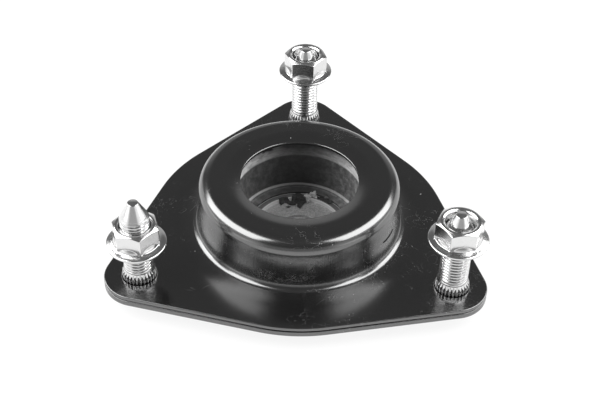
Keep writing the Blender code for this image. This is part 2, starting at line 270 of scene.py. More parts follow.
def add_level_face(bm, outer, holes, height):
    """Fills an outer loop at one height and leaves the round holes (centre, radius, steps) free."""
    points, edges = [], []
    for loop in [outer] + [circle(radius, steps, centre) for centre, radius, steps in holes]:
        first = len(points)
        points += [Vector((x / MM, y / MM)) for x, y in loop]
        edges += [(first + i, first + (i + 1) % len(loop)) for i in range(len(loop))]
    spots, _, faces, *_ = delaunay_2d_cdt(points, edges, [], KEEP_INSIDE, FILL_TOLERANCE)
    verts = [bm.verts.new((spot.x * MM, spot.y * MM + TOWER_Y, height)) for spot in spots]
    for face in faces:
        middle = (spots[face[0]] + spots[face[1]] + spots[face[2]]) * (MM / 3)
        if all((middle - Vector(centre)).length > radius for centre, radius, _ in holes):
            bm.faces.new([verts[i] for i in face])


def add_blank(bm, top, bottom, edge, opening):
    """The flat part of a sheet: its outline, the stud holes and both level faces round an opening
    (radius, steps) in the middle."""
    studs_at = [polar(STUD_CIRCLE_R, angle) for angle in STUD_ANGLES.values()]
    add_cut_edge(bm, flange_outline, top, bottom, edge)
    for centre in studs_at:
        def hole_at(step, centre=centre):
            return circle(STUD_HOLE_R + step, STUD_HOLE_STEPS, centre)

        add_cut_edge(bm, hole_at, top, bottom, edge)
    holes = [(centre, STUD_HOLE_R + edge, STUD_HOLE_STEPS) for centre in studs_at]
    holes.append(((0, 0), *opening))
    for height in (top, bottom):
        add_level_face(bm, flange_outline(edge), holes, height)


def sheet_piece(name, bm, stands_for):
    """Welds rings and faces into one closed sheet."""
    bmesh.ops.remove_doubles(bm, verts=bm.verts[:], dist=WELD)
    bmesh.ops.recalc_face_normals(bm, faces=bm.faces[:])
    print(name, "open edges:", sum(1 for edge in bm.edges if not edge.is_manifold))
    mesh = bpy.data.meshes.new(name)
    bm.to_mesh(mesh)
    bm.free()
    settle_normals(mesh)
    return place(name, mesh, "mount", stands_for)


print("sheet helpers ready")

# %% [markdown]
# ## The upper shell
# One press draws this from flat sheet: flange, tower wall, rounded shoulder and a lip that rolls
# down into the opening. It could be cut from primitives, but only a spun line gives the soft
# change from shoulder to wall that the highlights run along. The wall isn't quite straight: it
# waists in under the shoulder and flares into the base fillet, as deep drawn steel does.

# %% Upper shell
ROUND_STEPS = 288
SHELL_EDGE = 0.38


def tower_line():
    """Outer skin in mm as (radius, height over the flange), from the fillet to the lip's end."""
    # the fillet's arcs, from the flange up: radius, first and last direction of the centre, steps
    turns = [(26.0, 90, 78, 5), (3.2, 78, 42, 10), (2.2, 42, 0, 10)]
    fillet = [(42.684, 0.0)]
    for radius, start, end, steps in turns:
        centre = polar(radius, start, fillet[-1])
        fillet += arc(centre, radius, start - 180, end - 180, steps)[1:]
    wall = [(35.02, 4.2), (35.02, 5.6), (34.96, 8.0), (34.85, 10.0), (34.74, 11.3), (34.62, 12.8)]
    wall += [(34.565, 13.6), (34.55, 14.1), (34.565, 14.6)]
    shoulder = arc((30.1, 15.1), 4.5, 0, 90, 22)
    crown = [(29.0, 19.6), (25.9, 19.6)]
    roll = [(25.5, 19.59), (25.1, 19.565), (24.6, 19.52), (24.0, 19.45), (23.2, 19.32)]
    roll += [(22.4, 19.16), (21.6, 18.95), (20.9, 18.74), (20.1, 18.47)]
    return fillet + wall + shoulder + crown + roll


def sheet_profile(line, thickness, nose):
    """Closes an outer skin to a sheet: the line, a rounded cut end and the line's inner side."""
    inner = []
    for i, point in enumerate(line):
        before, after = Vector(line[max(i - 1, 0)]), Vector(line[min(i + 1, len(line) - 1)])
        along = (after - before).normalized()
        outwards = Vector((along.y, -along.x))
        if i == 0:
            outwards = Vector((0, 1))
        inner.append(Vector(point) - thickness * outwards)
    end, inner_end = Vector(line[-1]), inner[-1]
    upper, lower = end - nose * (along + outwards), inner_end - nose * (along - outwards)
    turns = [radians(18 * i) for i in range(6)]
    cut = [upper + nose * (cos(t) * outwards + sin(t) * along) for t in turns]
    cut += [lower + nose * (cos(t) * along - sin(t) * outwards) for t in turns]
    return [Vector(p) for p in line[:-1]] + cut + inner[-2::-1]


def make_upper_shell():
    """The flange round the tower's foot, with the tower's rings standing on the same circle."""
    line = tower_line()
    bm = bmesh.new()
    foot = (line[0][0] * MM, ROUND_STEPS)
    add_blank(bm, FLANGE_TOP, FLANGE_TOP - UPPER_SHEET, SHELL_EDGE * MM, foot)
    profile = sheet_profile(line, UPPER_SHEET / MM, SHELL_EDGE)
    add_rings(bm, [(circle(p.x * MM, ROUND_STEPS), FLANGE_TOP + p.y * MM) for p in profile])
    return sheet_piece("shell_pressed", bm, ("upper_shell",))


shell = make_upper_shell()
print("upper shell:", len(shell.data.polygons), "faces")

# %% [markdown]
# ## A crack in the paint
# The photograph shows one short crack on the right of the wall. Its dark gap is painted shade. As a
# mask in the paint it would still shine, so it is a thin ragged near-black strip that stands a hair
# proud of the wall and takes no gloss.

# %% Cracked paint on the wall
CRACK = [(-34.7, 18.1), (-31.5, 17.8), (-29.3, 17.9), (-26.9, 18.1), (-25.0, 18.3), (-23.0, 18.9)]
CRACK_STEPS = 48
CRACK_ROOT_R = 34.8
CRACK_FACE_R = 35.03


def make_crack_shade_strip():
    """A dark ragged strip, painted shade for the crack's gap, thin at both ends. CRACK holds its
    angles and heights in mm.
    """
    first, last = CRACK[0][0], CRACK[-1][0]
    rings = []
    for i in range(CRACK_STEPS + 1):
        angle = first + (last - first) * i / CRACK_STEPS
        middle = read_table(CRACK, angle)
        ragged = noise.noise(Vector((0.9 * angle, 3.0, 0.0)))
        half = (0.1 + 0.42 * sin(pi * i / CRACK_STEPS) ** 0.6) * (1.0 + 0.5 * ragged)
        corners = (
            (CRACK_ROOT_R, middle - half), (CRACK_FACE_R, middle - 0.6 * half),
            (CRACK_FACE_R, middle + 0.6 * half), (CRACK_ROOT_R, middle + half),
        )
        spots = [polar(r * MM, angle, (0.0, TOWER_Y)) for r, _ in corners]
        rings.append([(x, y, z * MM) for (x, y), (_, z) in zip(spots, corners)])
    mesh = mesh_of_rings("crack_shade_strip", rings)
    return place("crack_shade_strip", mesh, "mount")


crack = make_crack_shade_strip()
print("crack:", len(crack.data.polygons), "faces")

# %% [markdown]
# ## The lower plate
# A flat blank of the same outline closes the tower from below and holds the rubber in. The studs
# clamp it to the upper sheet, so only a thin seam shows between the two edges.

# %% Lower plate
OPENING_R = 29.526 * MM
OPENING_STEPS = 192
PLATE_EDGE = 0.3 * MM


def make_lower_plate():
    """The flat blank with its round opening for the rubber's neck."""
    bm = bmesh.new()

    def opening_at(step):
        return circle(OPENING_R + step, OPENING_STEPS)

    add_cut_edge(bm, opening_at, LOWER_TOP, LOWER_BOTTOM, PLATE_EDGE)
    add_blank(bm, LOWER_TOP, LOWER_BOTTOM, PLATE_EDGE, (OPENING_R + PLATE_EDGE, OPENING_STEPS))
    return sheet_piece("plate_blanked", bm, ("lower_plate",))


plate = make_lower_plate()
print("lower plate:", len(plate.data.polygons), "faces")

# %% [markdown]
# ## The rubber insulator
# Moulded rubber fills the tower and grips the seat's hidden flange. Its bore shows a pale dusty
# band under the lip, a dark wall, a thin bead where the mould closed, and a floor that runs onto
# the seat's ring. One closed line in mm gives all of it, with small round corners that catch the
# light. Moulded rubber is never true, so each point of the bore moves by a few hundredths of a
# millimetre.

# %% Rubber insulator
RUBBER_STEPS = 240
CHIP_ANGLE = 121.5
CHIP_REACH = 6.5
CHIP_FOOT = 22.0


def rubber_line():
    """Closed (radius, height) line in mm, from the crest down the outside and up the bore."""
    crest = (TOWER_TOP - UPPER_SHEET) / MM - 0.3
    outside = [(25.4, crest)] + arc((30.1, crest - 2.7), 2.7, 90, 0, 8)
    outside += [(33.326, 11.5), (33.326, 8.0), (29.226, 8.0), (29.226, 1.4), (28.326, 0.5)]
    inside = [(16.775, 0.5), (16.775, 1.85), (26.326, 1.85), (26.326, 5.15), (17.875, 5.15)]
    lip = [(17.875, 6.9), (17.93, 7.03), (18.1, 7.1), (19.3, 7.4), (20.05, 7.58), (20.25, 7.7)]
    bead = [(20.36, 8.0), (20.5, 8.32), (20.72, 8.5), (20.95, 8.5), (21.1, 8.6), (21.15, 8.85)]
    bore = [(21.3, 12.0), (21.52, 15.5), (21.7, 18.5), (21.82, 20.3), (21.9, 20.75)]
    band = [(22.02, 21.1), (22.5, 22.4), (23.0, 23.8), (23.45, 25.1), (23.75, 25.65)]
    top = [(24.5, crest - 0.5), (25.0, crest - 0.12)]
    return outside + inside + lip + bead + bore + band + top


def uneven_rubber(radius, degrees, height):
    """Moves the bore's points a little, and cuts the chip at the top left of the band."""
    if not (radius < 26 and height > 8.9):
        return radius, height
    spot = Vector((radius * cos(radians(degrees)), radius * sin(radians(degrees)), height))
    radius += 0.05 * noise.noise(spot * 0.35) + 0.02 * noise.noise(spot * 1.3)
    if height > CHIP_FOOT:
        away = abs(degrees - CHIP_ANGLE) / CHIP_REACH
        if away < 1:
            radius += 0.9 * (1 - away) * min(1.0, (height - CHIP_FOOT) / 2.5)
    return radius, height


def make_rubber():
    mesh = turned_mesh("rubber_moulded", rubber_line(), RUBBER_STEPS, uneven_rubber)
    smooth(mesh, 40)
    return place("rubber_moulded", mesh, "mount", ("rubber_insulator",))


rubber = make_rubber()
print("rubber:", len(rubber.data.polygons), "faces")

# %% [markdown]
# ## The rod seat
# A steel seat sits in the middle of the rubber: a raised ring, a sunk disc with the hole for the
# strut's rod, and a boss underneath on which the whole mount stands. It is turned from one closed
# line, with a small chamfer at every corner that a lathe would break. A shallow counterbore round
# the hole gives the dark arc that shows just over the front of the lip.

# %% Rod seat
SEAT_STEPS = 192


def seat_line():
    """Closed (radius, height) line in mm of the turned seat."""
    ring = [(17.3, 6.7), (17.5, 6.62), (17.575, 6.45), (17.575, 4.85)]
    flange = [(25.78, 4.85), (26.026, 4.6), (26.026, 2.4), (25.78, 2.15)]
    boss = [(16.475, 2.15), (16.475, 0.3), (16.4, 0.08), (16.2, 0.0), (11.54, 0.0), (11.36, 0.08)]
    recess = [(11.287, 0.25), (11.287, 1.9)]
    hole = [(6.35, 1.9), (6.17, 1.97), (6.1, 2.15), (6.1, 3.7), (6.2, 3.85)]
    counterbore = [(7.25, 3.9), (7.35, 4.0), (7.35, 5.1), (7.45, 5.2)]
    disc = [(9.0, 5.17), (12.5, 5.2), (14.8, 5.2), (15.15, 5.27), (15.275, 5.5), (15.275, 6.4)]
    ring_inside = [(15.35, 6.62), (15.55, 6.7)]
    return ring + flange + boss + recess + hole + counterbore + disc + ring_inside


def make_seat():
    mesh = turned_mesh("seat_turned", seat_line(), SEAT_STEPS)
    smooth(mesh, 28)
    return place("seat_turned", mesh, "mount", ("core_seat",))


seat = make_seat()
print("seat:", len(seat.data.polygons), "faces")

# %% [markdown]
# ## Torn moulding flash
# Moulding leaves a thin skin of rubber, the flash. Here it is torn: dark rags hang over the ring
# down to the disc, one pale rag curls up, and a ragged scrap lies on the rubber's lip. Painting
# them on would keep them flat, so each is a small closed mesh that is draped over what lies under
# it.

# %% Torn flash
RAG_GRID = 0.25
RAG_STEP = 0.22
RAG_LIFT = 0.02

# height of the disc, the ring and the rubber's lip over their radius
BED = [
    (0.0, 5.2), (14.85, 5.2), (15.3, 6.72), (17.5, 6.72), (17.95, 7.12), (19.3, 7.42), (20.1, 7.62),
]
# each rag's thickness, curl and outline in mm from the tower's axis
RAGS = {
    "main": (0.22, 0.25, [
        (-3.02, 14.22), (-2.74, 16.15), (-1.7, 16.9), (0.09, 17.13), (0.83, 16.35), (1.94, 15.32),
        (2.69, 14.13), (1.68, 13.22), (0.84, 11.54), (0.34, 10.49), (-0.75, 11.19), (-1.0, 13.34),
        (-1.49, 12.09), (-2.56, 12.11), (-3.82, 12.36), (-4.93, 13.39), (-5.47, 13.49),
        (-6.73, 11.79), (-7.81, 13.77), (-5.2, 14.9),
    ]),
    "scrap": (0.2, 0.15, [
        (-4.84, 11.22), (-4.28, 10.58), (-3.57, 10.76), (-3.07, 11.46), (-3.96, 11.54),
    ]),
    "curl": (0.18, 1.5, [
        (0.83, 15.81), (1.93, 15.05), (1.98, 13.42), (2.69, 13.32), (3.73, 14.33), (4.41, 15.74),
        (5.14, 14.96), (6.23, 14.2), (5.7, 17.74), (5.32, 18.41), (4.54, 17.4), (4.0, 17.64),
        (2.6, 16.46),
    ]),
    "ragged": (0.3, 0.5, [
        (6.21, 15.58), (8.01, 15.27), (8.73, 14.76), (9.15, 16.16), (9.68, 16.19), (9.79, 15.37),
        (10.87, 14.61), (11.6, 13.29), (11.27, 11.92), (9.85, 12.11), (8.58, 13.39), (6.41, 14.91),
    ]),
}


def torn_edge(corners):
    """The rag's outline with a fine ragged wobble."""
    edge = []
    for (x0, y0), (x1, y1) in zip(corners, corners[1:] + corners[:1]):
        pieces = max(2, int(hypot(x1 - x0, y1 - y0) / RAG_STEP))
        for i in range(pieces):
            x, y = x0 + (x1 - x0) * i / pieces, y0 + (y1 - y0) * i / pieces
            aside = noise.noise(Vector((2.4 * x, 2.4 * y, 3.7)))
            ahead = noise.noise(Vector((2.4 * x, 2.4 * y, 13.7)))
            edge.append(Vector((x + 0.16 * aside, y + 0.16 * ahead)))
    return edge


def make_rag(name, thickness, curl, corners):
    """A closed skin draped over the bed: both faces from the same flat points, and a cut side."""
    edge = torn_edge(corners)
    loop = [(i, (i + 1) % len(edge)) for i in range(len(edge))]
    left, front = min(p.x for p in edge), min(p.y for p in edge)
    columns = int((max(p.x for p in edge) - left) / RAG_GRID)
    rows = int((max(p.y for p in edge) - front) / RAG_GRID)
    grid = [
        Vector((left + RAG_GRID * i, front + RAG_GRID * j))
        for i in range(1, columns) for j in range(1, rows)
    ]
    flat = delaunay_2d_cdt(edge + grid, loop, [], KEEP_INSIDE, FILL_TOLERANCE)
    spots, faces = flat[0], flat[2]
    bm = bmesh.new()
    layers = []
    for level in (0.0, thickness):
        layer = []
        for spot in spots:
            wave = noise.noise(Vector((0.55 * spot.x, 0.55 * spot.y, 1.3 + curl)))
            lift = max(0.0, wave + 0.12) * curl
            rough = 0.05 * noise.noise(Vector((3 * spot.x, 3 * spot.y, 9.0))) if level else 0.0
            height = read_table(BED, spot.length) + RAG_LIFT + lift + level + rough
            layer.append(bm.verts.new((spot.x * MM, spot.y * MM + TOWER_Y, height * MM)))
        layers.append(layer)
    for face in faces:
        bm.faces.new([layers[1][i] for i in face])
        bm.faces.new([layers[0][i] for i in reversed(face)])
    lower = {vert: layers[0][i] for i, vert in enumerate(layers[1])}
    rim = [e for e in bm.edges if len(e.link_faces) == 1 and e.verts[0] in lower]
    for side in rim:
        one, two = side.verts
        bm.faces.new((one, two, lower[two], lower[one]))
    bmesh.ops.delete(bm, geom=[v for v in bm.verts if not v.link_faces], context="VERTS")
    mesh = bpy.data.meshes.new("flash_" + name)
    bm.to_mesh(mesh)
    bm.free()
    face_outwards(mesh)
    smooth(mesh, 50)
    return place("flash_torn_" + name, mesh, "mount")


rags = {name: make_rag(name, *shape) for name, shape in RAGS.items()}
print("torn flash:", {name: len(rag.data.polygons) for name, rag in rags.items()})

# %% [markdown]
# ## The studs
# Each stud is forged, splined, rolled and zinc plated. The splines bite into both sheets so that
# the stud can't turn. A screw thread could be made with the Screw modifier, but a stack of rings
# does more here: each ring asks for its radius at every angle, so teeth, thread and pilot point
# are all one function of height and angle, and one run-out softens the thread at both of its
# ends.

# %% Stud
STUD_STEPS = 224
HEAD_R = 7.4
HEAD_CHAMFER = 0.4
HEAD_GAP = 0.3
SPLINE_TEETH = 28
SPLINE_R = 5.65
SPLINE_DEPTH = 0.55
SPLINE_TOP = 2.9
SHOULDER_RISE = 0.9
THREAD_PITCH = 1.25
THREAD_FOOT = 3.9
THREAD_TOP = 25.7
CREST_R = 4.9
ROOT_R = 4.5
PILOT_FOOT = 25.5
PILOT_STEP = 0.45
PILOT_LENGTH = 5.2
PILOT_WIDENS = 2.73
PILOT_TIP_R = 1.74
TIP_FACE_R = 1.66
STUD_TOP = 31.3


def thread_form(fraction):
    """Rolled thread form: 1 at the round crest, 0 in the sharp root."""
    return sin(pi * fraction) ** 0.9


def thread_radius(height, degrees):
    """Radius in mm of the threaded shank at a height over the flange."""
    fraction = (height / THREAD_PITCH - degrees / 360.0) % 1.0
    fade = min(1.0, max(0.0, (height - THREAD_FOOT) / 1.2), max(0.0, (THREAD_TOP - height) / 0.9))
    return CREST_R - (CREST_R - ROOT_R) * (1 - thread_form(fraction)) * fade


def tooth(degrees):
    """1 on a spline tooth's round crest and 0 in the narrow groove beside it."""
    swing = cos(radians(degrees) * SPLINE_TEETH)
    return 1.0 - (0.5 - 0.5 * swing) ** 1.5


def stud_rows():
    """Heights in mm over the flange, closer where the shape changes faster."""
    bottom = (HEAD_BOTTOM - FLANGE_TOP) / MM
    neck = (LOWER_BOTTOM - FLANGE_TOP) / MM - HEAD_GAP
    rows = [(bottom, "chamfer"), (bottom + HEAD_CHAMFER, "head"), (neck, "head"), (neck, "spline")]
    rows += [(z, "spline") for z in (0.0, 1.2, 2.4, 2.6, 2.78, SPLINE_TOP)]
    rows += [(SPLINE_TOP + 0.15 * i, "shoulder") for i in range(1, 7)]
    rows += [(THREAD_FOOT + 0.125 * i, "thread") for i in range(173)]
    steps = (0.1, 0.2, 0.3, 0.42, 0.52, 0.6, 0.68, 1.0, 2.0, 3.0, 4.0, 5.0, 5.6, 5.75)
    rows += [(PILOT_FOOT + step, "pilot") for step in steps]
    return rows + [(STUD_TOP, "tip")]


def stud_ring(centre, height, kind):
    """One ring of the stud. Its kind says which part of the stud it belongs to."""
    ring = []
    for i in range(STUD_STEPS):
        degrees = 360.0 * i / STUD_STEPS
        if kind == "chamfer":
            radius = HEAD_R - HEAD_CHAMFER
        elif kind == "head":
            radius = HEAD_R
        elif kind == "spline":
            worn = max(0.0, height - 2.3) * 0.55
            radius = SPLINE_R - SPLINE_DEPTH * (1 - tooth(degrees)) - worn * tooth(degrees)
        elif kind == "shoulder":
            share = (height - SPLINE_TOP) / SHOULDER_RISE
            radius = (5.32 - 0.22 * (1 - tooth(degrees))) * (1 - share) + CREST_R * share
        elif kind == "thread":
            radius = thread_radius(height, degrees)
        elif kind == "pilot":
            step = CREST_R - PILOT_STEP * min(1.0, max(0.0, height - PILOT_FOOT - 0.1) / 0.5)
            radius = min(step, PILOT_TIP_R + PILOT_WIDENS * (STUD_TOP - height) / PILOT_LENGTH)
        else:
            radius = TIP_FACE_R
        x, y = polar(radius * MM, degrees, centre)
        ring.append((x, y, FLANGE_TOP + height * MM))
    return ring


def make_stud(name, angle):
    """A stud at its place on the stud circle."""
    centre = polar(STUD_CIRCLE_R, angle, (0.0, TOWER_Y))
    rings = [stud_ring(centre, height, kind) for height, kind in stud_rows()]
    mesh = mesh_of_rings("stud_" + name, rings)
    smooth(mesh, 42)
    return place("stud_threaded_" + name, mesh, "mount", ("stud_" + name,))


studs = {name: make_stud(name, angle) for name, angle in STUD_ANGLES.items()}
print("studs:", {name: len(stud.data.polygons) for name, stud in studs.items()})

# %% [markdown]
# ## The flange nuts
# A flange nut is forged: a hexagon stands on a bell that spreads into a thin round flange.
# Joining solids would leave hard creases where forging leaves soft ones, so a radius function
# blends the three shapes. The hexagon is cut by the chamfer cone with a soft minimum, and meets
# the bell with a soft maximum. That alone draws the curved scallop at the foot of each face.

# %% Nut
NUT_STEPS = 216
NUT_HEIGHT = 8.3
NUT_BORE_R = 5.02
HEX_HALF = 7.0
HEX_WEAR = 0.22
CHAMFER_R = 6.5
CHAMFER_SLOPE = 0.6
CHAMFER_BLEND = 0.14
BELL_BLEND = 0.07
NUT_TURNS = {"rear": 53.0, "left": 48.0, "right": 7.0}

# the bore with its countersinks above and below, as (radius, height over the nut's foot)
NUT_INSIDE = [
    (5.74, NUT_HEIGHT), (5.66, 8.26), (5.3, 8.02), (5.12, 7.88), (NUT_BORE_R, 7.7),
    (NUT_BORE_R, 1.0), (5.85, 0.1), (6.05, 0.0),
]
# radius of the flange and its bell, as (height over the nut's foot, radius)
BELL = [
    (0.0, 9.55), (0.12, 9.78), (0.32, 9.88), (0.6, 9.9), (0.8, 9.86), (0.93, 9.72), (0.99, 9.55),
    (1.2, 8.72), (1.42, 7.84), (1.48, 7.7), (1.56, 7.67), (1.9, 7.62), (2.4, 7.4), (2.7, 7.2),
    (3.0, 7.0), (3.45, 6.7), (4.2, 6.2),
]


def soft_min(a, b, blend):
    """The smaller of two radii, rounded where they cross."""
    share = max(0.0, blend - abs(a - b)) / blend
    return min(a, b) - share * share * blend / 4


def hexagon(degrees):
    """Radius of a hexagon at an angle, with its corners a little worn."""
    local = (degrees + 30.0) % 60.0 - 30.0
    here = HEX_HALF / cos(radians(local))
    other = HEX_HALF / cos(radians(60.0 - abs(local)))
    return soft_min(here, other, HEX_WEAR)


def nut_radius(height, degrees):
    """Outer radius of the nut in mm."""
    cone = CHAMFER_R + (NUT_HEIGHT - height) / CHAMFER_SLOPE
    body = soft_min(hexagon(degrees), cone, CHAMFER_BLEND)
    return -soft_min(-body, -read_table(BELL, height), BELL_BLEND)


def nut_rows():
    """Heights in mm over the nut's foot, closer at the flange, the scallops and the chamfer."""
    rows = [0.0, 0.06, 0.12, 0.22, 0.32, 0.46, 0.6, 0.7, 0.8, 0.87, 0.93, 0.99]
    rows += [1.2, 1.42, 1.48, 1.56, 1.7]
    rows += [1.86 + 0.085 * i for i in range(21)]
    rows += [3.75, 4.2, 4.8, 5.4, 6.0, 6.4, 6.7]
    return rows + [6.9 + 0.07 * i for i in range(20)] + [NUT_HEIGHT]


def make_nut(name, angle):
    """A nut round its stud, turned as in the photograph, that rides on its own body."""
    centre = polar(STUD_CIRCLE_R, angle, (0.0, TOWER_Y))
    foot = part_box("nut_" + name)[0][2]

    def ring(radius_of, height):
        points = []
        for i in range(NUT_STEPS):
            degrees = 360.0 * i / NUT_STEPS
            radius = radius_of(degrees) * MM
            x, y = polar(radius, degrees + NUT_TURNS[name] + 30.0, centre)
            points.append((x, y, foot + height * MM))
        return points

    rings = [ring(lambda d, z=z: nut_radius(z, d), z) for z in nut_rows()]
    rings += [ring(lambda d, r=radius: r, height) for radius, height in NUT_INSIDE]
    mesh = mesh_of_rings("nut_" + name, rings, closed_tube=True)
    smooth(mesh, 48)
    return place("nut_forged_" + name, mesh, name + "_nut", ("nut_" + name,))


nuts = {name: make_nut(name, angle) for name, angle in STUD_ANGLES.items()}
print("nuts:", {name: len(nut.data.polygons) for name, nut in nuts.items()})

# %% [markdown]
# ## Shader sums in plain Python
# A material is a graph of nodes. Wiring sums by hand hides what they mean, so one small class
# wraps a node's output and lets Python's own signs build the Math nodes. Every other node comes
# from one method that sets the node up first and then feeds its sockets.

# %% Wire class
class Wire:
    """A node's output that can stand in a sum as if it were a number."""

    def __init__(self, tree, socket):
        self.tree = tree
        self.socket = socket

    def node(self, kind, settings=None, feeds=None, output=0):
        """Adds a node of any type: settings first, then the values or wires of its inputs."""
        made = self.tree.nodes.new(kind)
        for name, value in (settings or {}).items():
            setattr(made, name, value)
        for key, value in (feeds or {}).items():
            if isinstance(value, Wire):
                self.tree.links.new(value.socket, made.inputs[key])
            else:
                made.inputs[key].default_value = value
        return Wire(self.tree, made.outputs[output])

    def math(self, operation, *values):
        """One Math node on any values or wires."""
        return self.node("ShaderNodeMath", {"operation": operation}, dict(enumerate(values)))

    def __add__(self, other):
        return self.math("ADD", self, other)

    def __radd__(self, other):
        return self.math("ADD", other, self)

    def __sub__(self, other):
        return self.math("SUBTRACT", self, other)

    def __rsub__(self, other):
        return self.math("SUBTRACT", other, self)

    def __mul__(self, other):
        return self.math("MULTIPLY", self, other)

    def __rmul__(self, other):
        return self.math("MULTIPLY", other, self)

    def __truediv__(self, other):
        return self.math("DIVIDE", self, other)

    def __rtruediv__(self, other):
        return self.math("DIVIDE", other, self)

    def size(self):
        """The value without its sign."""
        return self.math("ABSOLUTE", self)

    def capped(self, highest=1.0):
        """The value, or the highest one allowed."""
        return self.math("MINIMUM", self, highest)

    def step(self, start, end):
        """0 before start and 1 after end, with a smooth rise. Start may be the larger one."""
        feeds = {0: self, 1: start, 2: end, 3: 0.0, 4: 1.0}
        if start > end:
            feeds = {0: self, 1: end, 2: start, 3: 1.0, 4: 0.0}
        return self.node("ShaderNodeMapRange", {"interpolation_type": "SMOOTHSTEP"}, feeds)

    def between(self, low, high, edge):
        """1 inside a range and 0 outside it, with soft edges."""
        return self.step(low - edge, low + edge) * self.step(high + edge, high - edge)


print("Wire knows", [name for name in dir(Wire) if not name.startswith("__")])

# %% [markdown]
# ## Helpers that every finish uses
# All patterns are laid out in the part's own space, in millimetres from the tower's axis. Then
# the grain has its true size on every piece, and it doesn't slide when a nut moves or a camera
# turns.

# %% Finish helpers
COLOUR_A, COLOUR_B, COLOUR_OUT = 6, 7, 2


class Finish:
    """A new material with its shader, and the position in mm that patterns are drawn from."""

    def __init__(self, name, **constants):
        self.material = bpy.data.materials.new(name)
        self.material.use_nodes = True
        self.tree = self.material.node_tree
        self.shader = self.tree.nodes["Principled BSDF"]
        for key, value in constants.items():
            self.shader.inputs[key.replace("_", " ")].default_value = value
        blank = Wire(self.tree, None)
        spot = blank.node("ShaderNodeTexCoord", output="Object")
        scaled = spot.node(
            "ShaderNodeVectorMath", {"operation": "MULTIPLY_ADD"},
            {0: spot, 1: (1000, 1000, 1000), 2: (0, -TOWER_Y / MM, 0)},
        )
        self.spot = scaled
        self.x = scaled.node("ShaderNodeSeparateXYZ", None, {0: scaled}, "X")
        self.y = scaled.node("ShaderNodeSeparateXYZ", None, {0: scaled}, "Y")
        self.z = scaled.node("ShaderNodeSeparateXYZ", None, {0: scaled}, "Z")
        square = self.x * self.x + self.y * self.y
        self.radius = square.math("SQRT", square)
        self.turn = self.x.math("ARCTAN2", self.y, self.x)

    def feed(self, **wires):
        """Links wires to the shader's sockets. An underscore in a name stands for its space."""
        for key, wire in wires.items():
            self.tree.links.new(wire.socket, self.shader.inputs[key.replace("_", " ")])

    def stretched(self, along, across, up):
        """A position for patterns round the tower: angle, radius and height, each scaled."""
        return self.x.node(
            "ShaderNodeCombineXYZ", None,
            {0: self.turn * along, 1: self.radius * across, 2: self.z * up},
        )

    def grain(self, scale, detail=3.0, rough=0.55, at=None, twist=0.0):
        """Noise from 0 to 1. scale counts waves per mm."""
        return self.x.node(
            "ShaderNodeTexNoise", None,
            {"Vector": at or self.spot, "Scale": scale, "Detail": detail, "Roughness": rough,
             "Distortion": twist},
        )

    def specks(self, cell, size, share):
        """Round specks of a radius in mm, at most one in each cell and in a share of the cells."""
        feeds = {"Vector": self.spot, "Scale": 1.0 / cell}
        near = self.x.node("ShaderNodeTexVoronoi", None, feeds, "Distance")
        pick = self.x.node("ShaderNodeTexVoronoi", None, feeds, "Color")
        lot = pick.node("ShaderNodeSeparateColor", None, {0: pick}, "Red")
        width = pick.node("ShaderNodeSeparateColor", None, {0: pick}, "Green")
        limit = (0.35 + 0.65 * width) * (size / cell)
        disc = (limit - near).step(0.0, 0.3 * size / cell)
        return disc * lot.step(1.0 - share, 1.0 - share + 0.01)

    def colour_mix(self, share, first, second):
        """A colour between two. Each may be a colour or another mix."""
        feeds = {"Factor": share, COLOUR_A: first, COLOUR_B: second}
        return self.x.node("ShaderNodeMix", {"data_type": "RGBA"}, feeds, COLOUR_OUT)

    def line_through(self, noise_wire, level, sharpness):
        """A thin line wherever the noise passes a level."""
        return (1 - (noise_wire - level).size() * sharpness).step(0.0, 0.9)

    def bump(self, height, depth, strength=1.0, under=None):
        """Relief: height runs from 0 to 1 and stands depth mm high."""
        feeds = {"Height": height, "Distance": depth * MM, "Strength": strength}
        if under:
            feeds["Normal"] = under
        return self.x.node("ShaderNodeBump", None, feeds)


def grey(level):
    """An opaque grey. The whole part is black, grey or white."""
    return (level, level, level, 1.0)


print("finish helpers ready")
